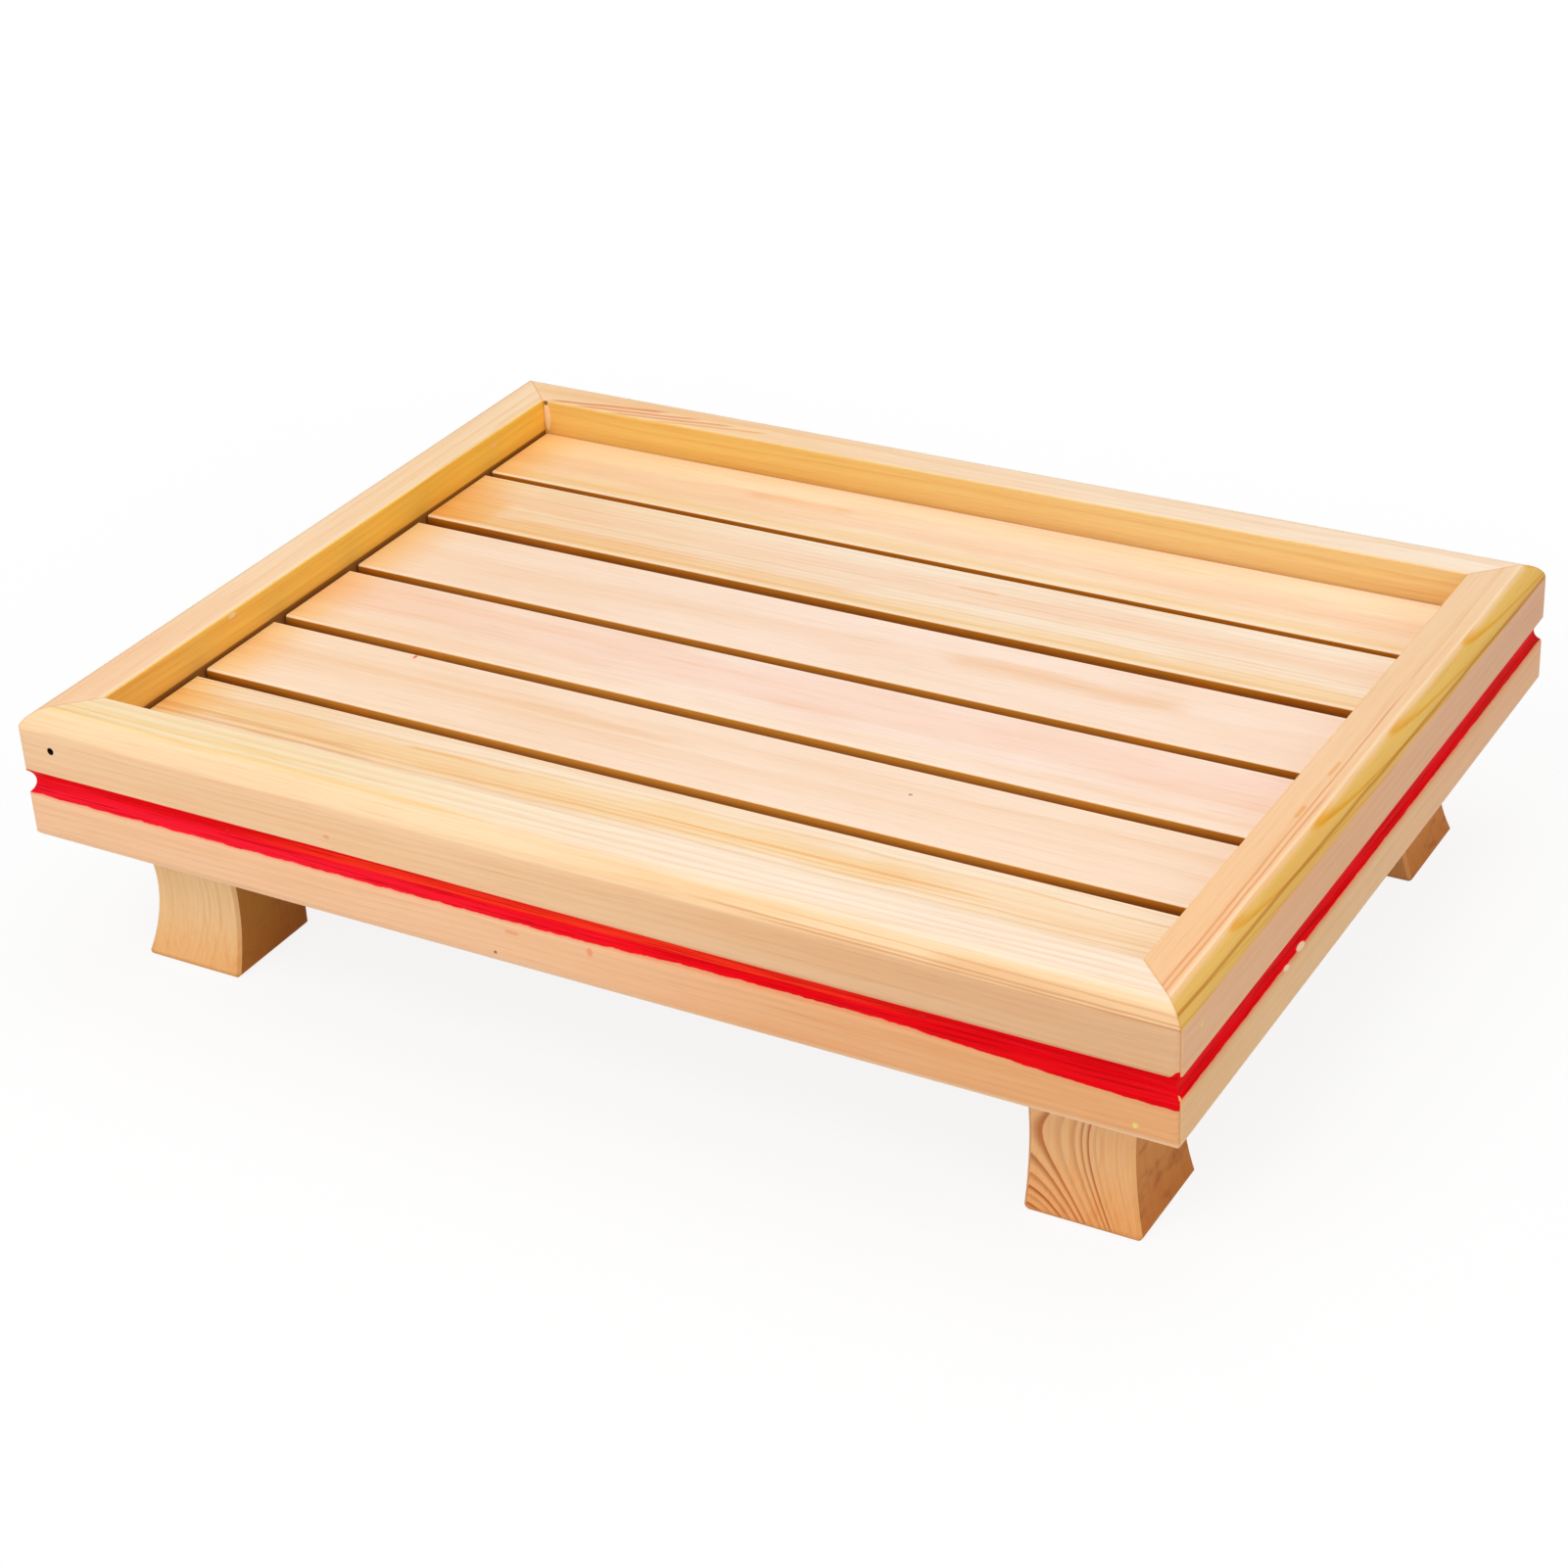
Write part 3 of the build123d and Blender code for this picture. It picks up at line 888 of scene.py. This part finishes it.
SLAT_LOOKS = {
    "slat_1": SlatLook(
        left=srgb(249, 220, 178), right=srgb(250, 230, 202), side=1.0,
        figure=Figure(ALONG_X, pith=(0, 14, -60), ring=3.0, line=0.25, streak=0.2, seed=31),
        streaks=(
            Streak(-150, 150, 9.5, 6.5, YELLOW_BAND, 0.2),
            Streak(-150, 150, -2.0, 7.0, PINK_BAND, 1.0),
            Streak(-150, 150, -13.0, 4.0, GOLD_BAND, 0.6),
            Streak(-64, -36, 2.0, 2.2, ORANGE_WOOD, 0.25),
        ),
    ),
    "slat_2": SlatLook(
        left=srgb(246, 215, 174), right=srgb(249, 231, 209), side=0.7,
        figure=Figure(ALONG_X, pith=(0, 110, -50), ring=1.9, line=0.5, streak=0.25, seed=36),
        streaks=(
            Streak(-150, -20, -9.0, 5.0, PINK_BAND, 0.5),
            Streak(-150, 150, -13.0, 5.5, GOLD_BAND, 0.9),
            Streak(-165, -132, -5.0, 9.0, GOLD_BAND, 1.0),
            Streak(-150, 150, 4.0, 5.0, PINK_BAND, 0.8),
            Streak(18, 28, 5.8, 0.7, ORANGE_WOOD, 0.4),
        ),
    ),
    "slat_3": SlatLook(
        left=srgb(249, 221, 194), right=srgb(250, 226, 207), side=0.3,
        figure=Figure(ALONG_X, pith=(0, -10, -70), ring=3.6, line=0.18, streak=0.15, seed=41),
        streaks=(Streak(40, 95, 3.0, 3.5, LATE_WOOD, 0.45),),
    ),
    "slat_4": SlatLook(
        left=srgb(249, 221, 196), right=srgb(250, 228, 214), side=0.0,
        figure=Figure(ALONG_X, pith=(0, 25, -75), ring=3.2, line=0.18, streak=0.15, seed=46),
        streaks=(
            Streak(-150, 150, -11.0, 4.5, YELLOW_BAND, 0.3),
            Streak(-150, 150, 5.0, 9.0, PINK_BAND, 0.8),
        ),
    ),
    "slat_5": SlatLook(
        left=srgb(249, 222, 194), right=srgb(248, 222, 198), side=0.1,
        figure=Figure(ALONG_X, pith=(0, -30, -80), ring=3.4, line=0.2, streak=0.15, seed=51),
        streaks=(Streak(-150, -20, 3.0, 2.0, LATE_WOOD, 0.4),),
        specks=(
            Speck(-98.7, 14.4, 0.5, 1.4, RED_DRIP, 0.9),
            Speck(58.3, 4.0, 0.6, 0.5, SPECK, 0.6),
        ),
    ),
    "slat_6": SlatLook(
        left=srgb(245, 218, 184), right=srgb(248, 229, 204), side=0.3,
        figure=Figure(ALONG_X, pith=(0, -60, -55), ring=1.6, line=0.6, streak=0.3, seed=56, wander=1.4),
        streaks=(
            Streak(-68, -40, 7.0, 0.7, ORANGE_WOOD, 0.5),
            Streak(-150, 60, 3.0, 5.5, GOLD_BAND, 0.9),
            Streak(75, 150, 4.0, 6.0, GOLD_BAND, 0.4),
            Streak(-148, -90, 0.0, 0.8, BROWN_WOOD, 0.3),
            Streak(-148, -85, -3.2, 0.7, BROWN_WOOD, 0.3),
            Streak(10, 90, 3.0, 0.5, ORANGE_WOOD, 0.6),
        ),
    ),
}


def floor_slat(node):
    """A slat's wood, with a painted highlight on its eased edges, painted shade on its sides in the gaps,
    and painted warm bounce from the wall at its left end.
    """
    look = SLAT_LOOKS[node]
    finish = Finish(node + "_wood")
    grain = Grain(finish, node, look.figure)
    x, y, z = finish.split(finish.place())
    across = y - middle(node).y
    below = SLAT_TOP - z
    colour = grain.colour(finish.mix(x.rise(*SLAT_TURN), look.left, look.right))
    edges = finish.join(x * RAGGED_ALONG, across * SLAT_RAGGED + grain.seed, 5.0)
    ragged = finish.noise(edges, 3.0)
    for streak in look.streaks:
        colour = streak.over(finish, colour, x, across, ragged)
    for speck in look.specks:
        colour = speck.over(finish, colour, x, across)
    # Painted warm bounce light from the left wall on the slat's left end
    colour = finish.stain(x.rise(*WALL_BOUNCE_REACH, 0.8, 0.0), colour, WALL_BOUNCE_WARMTH)
    # Painted highlight along the slat's eased edges
    colour = finish.mix(abs(across).rise(*EASED_EDGE) * 0.6, colour, SLAT_EDGE_HIGHLIGHT)
    # Painted shade on the sides in the gaps, deeper further down and towards the ends
    side = finish.mix(below.rise(*SIDE_SHADE_DEEPENS), SLAT_SIDE_SHADE_HIGH, SLAT_SIDE_SHADE_LOW)
    side = finish.stain(grain.fibre.rise(0.4, 0.8) * 0.4, side, FIBRE)
    side = finish.stain(abs(x).rise(*SIDE_SHADE_ENDS) * 0.7 + look.side, side, SLAT_SIDE_SHADE_STAIN)
    colour = finish.mix(below.rise(*SIDE_START), colour, side)
    return finish.done(grain.planed(colour))


# Feet: each is cut from a different piece of wood, with painted shade on the faces that look right
FOOT_EDGE_HIGHLIGHT = srgb(240, 184, 116)
FOOT_HEEL = srgb(204, 138, 72)
FOOT_BLOTCH = srgb(170, 112, 66)
RING_WOOD = srgb(190, 122, 62)

# How far a face turns to the right, as a share: where it counts as a right face with painted shade, and at
# the eased edges with a painted highlight
RIGHT_FACE_SHADE = (0.75, 0.9)
RIGHT_BLOTCH = (0.5, 0.9)
EDGE_FACING = 0.69

# Swells of the blotches along x, across the grain and up, and heights over which the sole's stains fade
BLOTCHES = (0.3, 0.12, 0.3)
WARM_SOLE = (1.0, 20.0)
HEEL_EDGE = (1.2, 2.2)


@dataclass
class FootLook:
    """Tones of a foot's plain faces and of its right face, which is painted shade, its figure, blotches, and
    where its rings fade.
    """
    plain: tuple
    right: tuple
    figure: Figure
    blotch: float
    fade: tuple = ()


FOOT_LOOKS = {
    "front_left": FootLook(
        plain=srgb(250, 211, 158), right=srgb(202, 138, 54), blotch=0.2,
        figure=Figure(ALONG_Z, pith=(40, -60, 0), ring=1.3, line=0.3, streak=0.3, seed=61, wander=0.6),
    ),
    "front_right": FootLook(
        plain=srgb(244, 194, 138), right=srgb(210, 143, 72), blotch=0.4, fade=(52.6, 55),
        figure=Figure(ALONG_Z, pith=(-17.7, -62.0, 0), ring=0.7, line=1.0, streak=0.3, seed=66, wander=0.12,
                      late=RING_WOOD),
    ),
    "back_left": FootLook(
        plain=srgb(244, 201, 145), right=srgb(214, 156, 92), blotch=0.3,
        figure=Figure(ALONG_Z, pith=(25, 40, 0), ring=1.6, line=0.5, streak=0.4, seed=71, wander=0.5),
    ),
    "back_right": FootLook(
        plain=srgb(240, 188, 128), right=srgb(216, 148, 72), blotch=0.5,
        figure=Figure(ALONG_Z, pith=(-60, 30, 0), ring=1.8, line=0.4, streak=0.4, seed=76, wander=0.5),
    ),
}


def foot_wood(corner):
    """A foot's wood, with painted shade on its right faces, a painted highlight on its eased edges, blotches
    and a darker strip round the sole.
    """
    look = FOOT_LOOKS[corner]
    node = "foot_" + corner
    finish = Finish(node + "_wood")
    grain = Grain(finish, node, look.figure)
    x, _, z = finish.split(finish.place())
    facing = finish.split(finish.add("ShaderNodeNewGeometry", output="Normal"))[0]
    if look.fade:
        grain.late = grain.late * grain.radius.rise(*look.fade, 1.0, 0.2)
    along_x, across, up = BLOTCHES
    blotch = finish.noise(finish.join(x * along_x, grain.across * across, z * up + grain.seed), 3.0)
    # Painted shade on the faces that look right
    colour = grain.colour(finish.mix(facing.rise(*RIGHT_FACE_SHADE), look.plain, look.right))
    blotched = blotch.rise(0.5, 0.75) * facing.rise(*RIGHT_BLOTCH) * look.blotch
    colour = finish.stain(blotched, colour, FOOT_BLOTCH)
    # Painted highlight on the eased edges
    colour = finish.mix(facing.band(EDGE_FACING, 0.06, 0.08) * 0.5, colour, FOOT_EDGE_HIGHLIGHT)
    colour = finish.stain(z.rise(*WARM_SOLE, 0.5, 0.0), colour, ORANGE_WOOD)
    colour = finish.mix((z + blotch * 0.8).rise(*HEEL_EDGE, 0.5, 0.0), colour, FOOT_HEEL)
    return finish.done(grain.planed(colour))


# Battens and dowels: one tone each, and a seed for each batten
BATTEN_TONE = srgb(247, 208, 162)
BATTEN_SEEDS = {"batten_left": 81, "batten_right": 86}
DOWEL_TONE = srgb(238, 206, 160)
DOWEL_FIGURE = Figure(ALONG_Z, pith=(3, 2, 0), ring=1.4, line=0.4, streak=0.4, seed=91)


def batten_wood(node):
    """The wood of a batten under the slats."""
    figure = Figure(ALONG_Y, pith=(30, 0, 40), ring=2.4, line=0.4, streak=0.4, seed=BATTEN_SEEDS[node])
    return bare_wood(node + "_wood", node, figure, BATTEN_TONE)


def dress_woodwork():
    """Wood on the rails, slats, battens, feet and dowels, and paint on the rails."""
    for side in RAIL_LOOKS:
        dress("rail_" + side, painted_rail(side))
    for node in SLAT_LOOKS:
        dress(node, floor_slat(node))
    for node in BATTEN_SEEDS:
        dress(node, batten_wood(node))
    for corner in FOOT_LOOKS:
        dress("foot_" + corner, foot_wood(corner))
    dress("foot_dowels", bare_wood("dowel_wood", "foot_dowels", DOWEL_FIGURE, DOWEL_TONE))


# Fastenings: colours of the brads and of the putty over them
DULL_STEEL = srgb(96, 92, 88)
RUST = srgb(70, 48, 34)
PALE_PUTTY = srgb(240, 214, 130)
DARK_PUTTY = srgb(226, 190, 104)


def brad_steel():
    """Plain wire, dulled and spotted with rust."""
    finish = Finish("brad_steel")
    rust = finish.noise(finish.place(), 3.0)
    return finish.done(finish.principled({
        "Base Color": finish.mix(rust.rise(0.4, 0.7), DULL_STEEL, RUST),
        "Metallic": rust.rise(0.4, 0.7, 1.0, 0.3), "Roughness": rust.rise(0.3, 0.7, 0.4, 0.75)}))


def paint_over_brads():
    """Brad ends that lie in the groove under its red paint."""
    finish = Finish("painted_brads")
    brush = finish.noise(finish.place())
    return finish.done(finish.principled({
        "Base Color": finish.mix(brush.rise(0.3, 0.7), PAINT_DEEP, PAINT_RED), "Roughness": 0.45,
        "Specular IOR Level": BRAD_PAINT_GLOSS, "Normal": finish.bump(brush, BRUSH_DEPTH)}))


def dried_putty():
    """Yellowish wood putty with a fine grit."""
    finish = Finish("dried_putty")
    grit = finish.noise(finish.place(), 4.0, 0.7)
    return finish.done(finish.principled({
        "Base Color": finish.mix(grit.rise(0.35, 0.65), PALE_PUTTY, DARK_PUTTY), "Roughness": 0.75,
        "Specular IOR Level": PUTTY_GLOSS, "Normal": finish.bump(grit, GRIT_DEPTH)}))


def dress_fastenings():
    """Steel on the hidden brads, paint on those in the groove, and putty over those at the corners."""
    steel = brad_steel()
    dress("mitre_brads", steel)
    dress("slat_brads", steel)
    dress("batten_brads", paint_over_brads())
    dress("brad_putty", dried_putty())


# Studio: colours of the surround and of the floor's paper
WHITE = (1.0, 1.0, 1.0, 1.0)
PAPER_WHITE = (0.94, 0.94, 0.94, 1.0)


def photo_camera():
    """The camera at the place from which the board was seen."""
    azimuth, elevation, roll = (math.radians(a) for a in (CAMERA_AZIMUTH, CAMERA_ELEVATION, CAMERA_ROLL))
    level = math.cos(elevation)
    away = Vector((math.sin(azimuth) * level, -math.cos(azimuth) * level, math.sin(elevation)))
    right = Vector(ALONG_Z).cross(away).normalized()
    up = away.cross(right)
    across = right * math.cos(roll) + up * math.sin(roll)
    upright = up * math.cos(roll) - right * math.sin(roll)
    turn = Matrix((across, upright, away)).transposed().to_4x4()
    data = bpy.data.cameras.new("photo_camera")
    data.sensor_width = CAMERA_FRAME
    data.lens = CAMERA_LENS
    camera = bpy.data.objects.new("photo_camera", data)
    camera.matrix_world = Matrix.Translation(Vector(CAMERA_TARGET) + away * CAMERA_DISTANCE) @ turn
    bpy.context.scene.collection.objects.link(camera)
    bpy.context.scene.camera = camera


def softbox(name, place, size, power):
    """A square area lamp that looks at the board."""
    data = bpy.data.lights.new(name, "AREA")
    data.size = size
    data.energy = power
    lamp = bpy.data.objects.new(name, data)
    lamp.location = place
    lamp.rotation_euler = (Vector(LAMP_TARGET) - Vector(place)).to_track_quat("-Z", "Y").to_euler()
    bpy.context.scene.collection.objects.link(lamp)


def white_floor():
    """A white floor that keeps the board's shadow near it and is plain white farther off."""
    bpy.ops.object.select_all(action="DESELECT")
    bpy.ops.mesh.primitive_plane_add(size=FLOOR_SIZE)
    floor = bpy.context.object
    floor.name = "floor"
    paper = Finish("floor_paper")
    x, y, _ = paper.split(paper.place())
    past_end = (abs(x) - HALF_LENGTH).most(0.0)
    past_side = (abs(y) - HALF_WIDTH).most(0.0)
    beyond = (past_end.square() + past_side.square()).root()
    shadow = beyond.rise(0.0, SHADOW_REACH, FLOOR_SHADOW, 0.0)
    matt = paper.add("ShaderNodeBsdfDiffuse", inputs={"Color": PAPER_WHITE})
    glow = paper.add("ShaderNodeEmission", inputs={"Color": WHITE, "Strength": 1.0})
    floor.data.materials.append(paper.done(paper.layer(paper.seen_directly() * (1 - shadow), matt, glow)))


def studio():
    """A white surround and soft lamps."""
    world = bpy.data.worlds.new("studio")
    bpy.context.scene.world = world
    world.use_nodes = True
    room = Nodes(world.node_tree)
    level = room.seen_directly() * (1 - FILL_STRENGTH) + FILL_STRENGTH
    surround = room.add("ShaderNodeBackground", inputs={"Color": WHITE, "Strength": level})
    room.finish("ShaderNodeOutputWorld", surround)
    for name, (place, size, power) in LAMPS.items():
        softbox(name, place, size, power)


dress_woodwork()
dress_fastenings()
photo_camera()
white_floor()
studio()
bpy.context.scene.view_settings.view_transform = "Standard"
